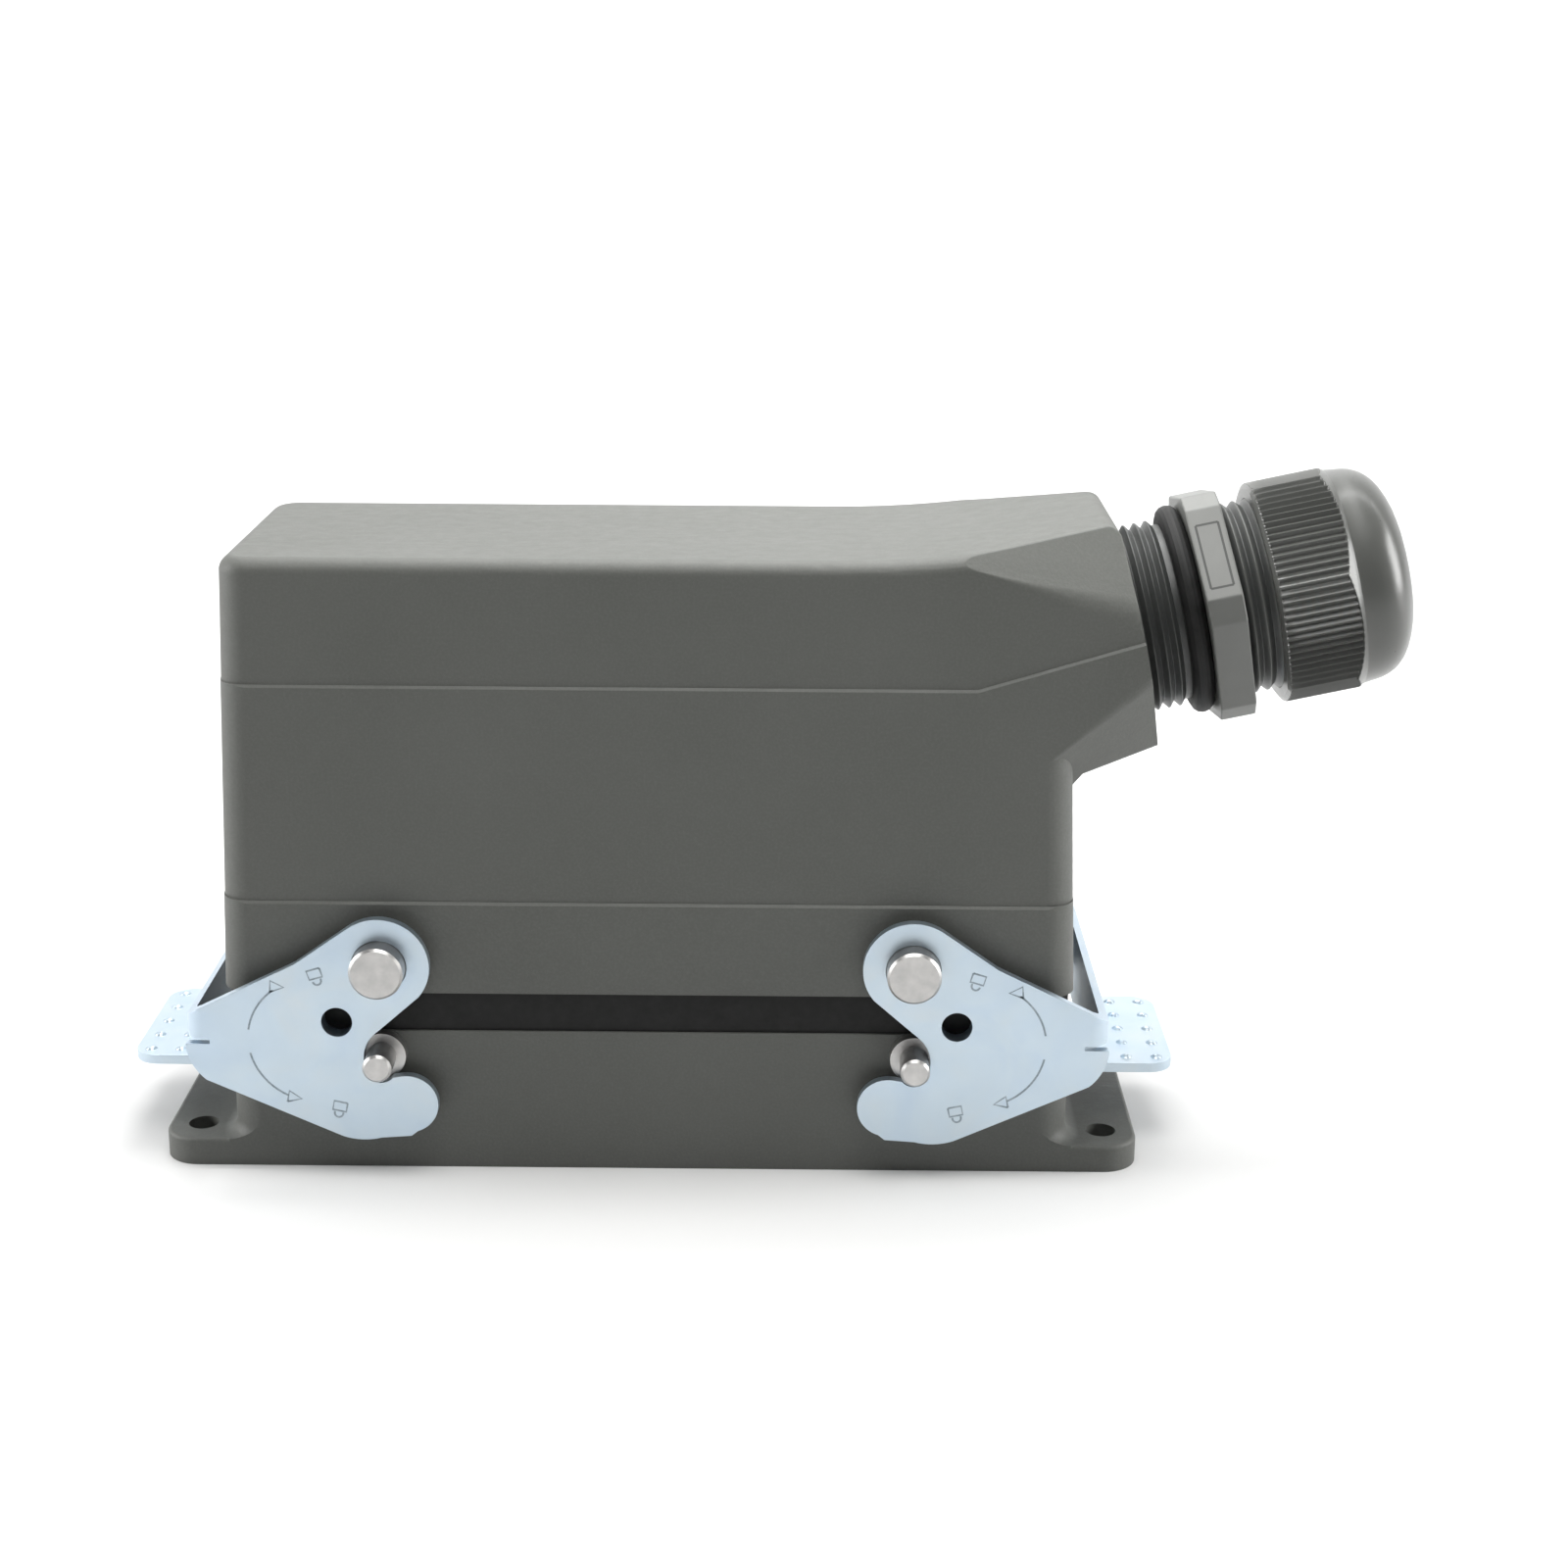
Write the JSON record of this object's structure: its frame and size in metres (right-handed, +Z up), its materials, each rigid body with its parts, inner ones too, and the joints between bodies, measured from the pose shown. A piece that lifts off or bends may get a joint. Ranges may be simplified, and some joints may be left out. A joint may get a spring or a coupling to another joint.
{
  "type": "heavy-duty rectangular connector",
  "caption": "Rectangular industrial connector: grey cast hood with angled cable gland, locked by two U-shaped spring levers onto a flanged panel housing.",
  "frame": {"origin": "centre of the flange's underside, which sits on the panel, midway between the four fixing holes", "axes": "+X along the connector towards the cable entry, +Y to the back, +Z up out of the panel"},
  "size_m": [0.1827, 0.056, 0.0979],
  "materials": {
    "cast_grey_coating": "fine-textured matt dark grey powder coat over die-cast aluminium",
    "zinc_plated_sheet": "bright blue-white zinc plate on pressed sheet",
    "bright_stud_steel": "nickel-plated turned steel",
    "black_rubber": "smooth moulded rubber",
    "insert_plastic": "glass-filled moulding",
    "silvered_contact": "silver-plated",
    "screw_steel": "zinc-plated",
    "gland_plastic": "moulded polyamide, satin",
    "gland_nut_plastic": "moulded polyamide, ribbed barrel and smooth half-gloss dome"
  },
  "bodies": {
    "connector": {"base_housing": "cast_grey_coating", "female_contacts": "silvered_contact", "female_earth_left": "screw_steel", "female_earth_right": "screw_steel", "female_earth_screws": "screw_steel", "female_fixing_screws": "screw_steel", "female_insert": "insert_plastic", "female_screw_washers": "screw_steel", "female_terminal_screws": "screw_steel", "flange_gasket": "black_rubber", "gland_body": "gland_plastic", "gland_claw": "gland_plastic", "gland_o_ring": "black_rubber", "hood": "cast_grey_coating", "locking_peg_back_left": "bright_stud_steel", "locking_peg_back_right": "bright_stud_steel", "locking_peg_front_left": "bright_stud_steel", "locking_peg_front_right": "bright_stud_steel", "male_earth_left": "screw_steel", "male_earth_right": "screw_steel", "male_earth_screws": "screw_steel", "male_fixing_screws": "screw_steel", "male_insert": "insert_plastic", "male_pins": "silvered_contact", "male_screw_washers": "screw_steel", "male_terminal_screws": "screw_steel", "pivot_stud_back_left": "bright_stud_steel", "pivot_stud_back_right": "bright_stud_steel", "pivot_stud_front_left": "bright_stud_steel", "pivot_stud_front_right": "bright_stud_steel", "rim_seal": "black_rubber"},
    "lever_left": {"lever_left": "zinc_plated_sheet"},
    "lever_right": {"lever_right": "zinc_plated_sheet"},
    "gland_seal": {"gland_grommet": "black_rubber"},
    "gland_nut": {"gland_nut": "gland_nut_plastic"}
  },
  "joints": [
    {"name": "lever_left_swing", "type": "hinge", "parent": "connector", "child": "lever_left", "pos_m": [-0.037, 0, 0.032], "axis": [0, 1, 0], "range_deg": [0, 45]},
    {"name": "lever_right_swing", "type": "hinge", "parent": "connector", "child": "lever_right", "pos_m": [0.037, 0, 0.032], "axis": [0, -1, 0], "range_deg": [0, 45]},
    {"name": "gland_seal_slide", "type": "slide", "parent": "connector", "child": "gland_seal", "axis": [0.977, 0, 0.213], "range_m": [-0.003, 0.0018]},
    {"name": "gland_nut_turn", "type": "hinge", "parent": "gland_seal", "child": "gland_nut", "pos_m": [0.0677, 0, 0.076], "axis": [0.977, 0, 0.213], "range_deg": [-600, 360]}
  ],
  "couplings": [
    {"joint": "gland_seal_slide", "follows": "gland_nut_turn", "m_per_rad": 0.00027852}
  ]
}
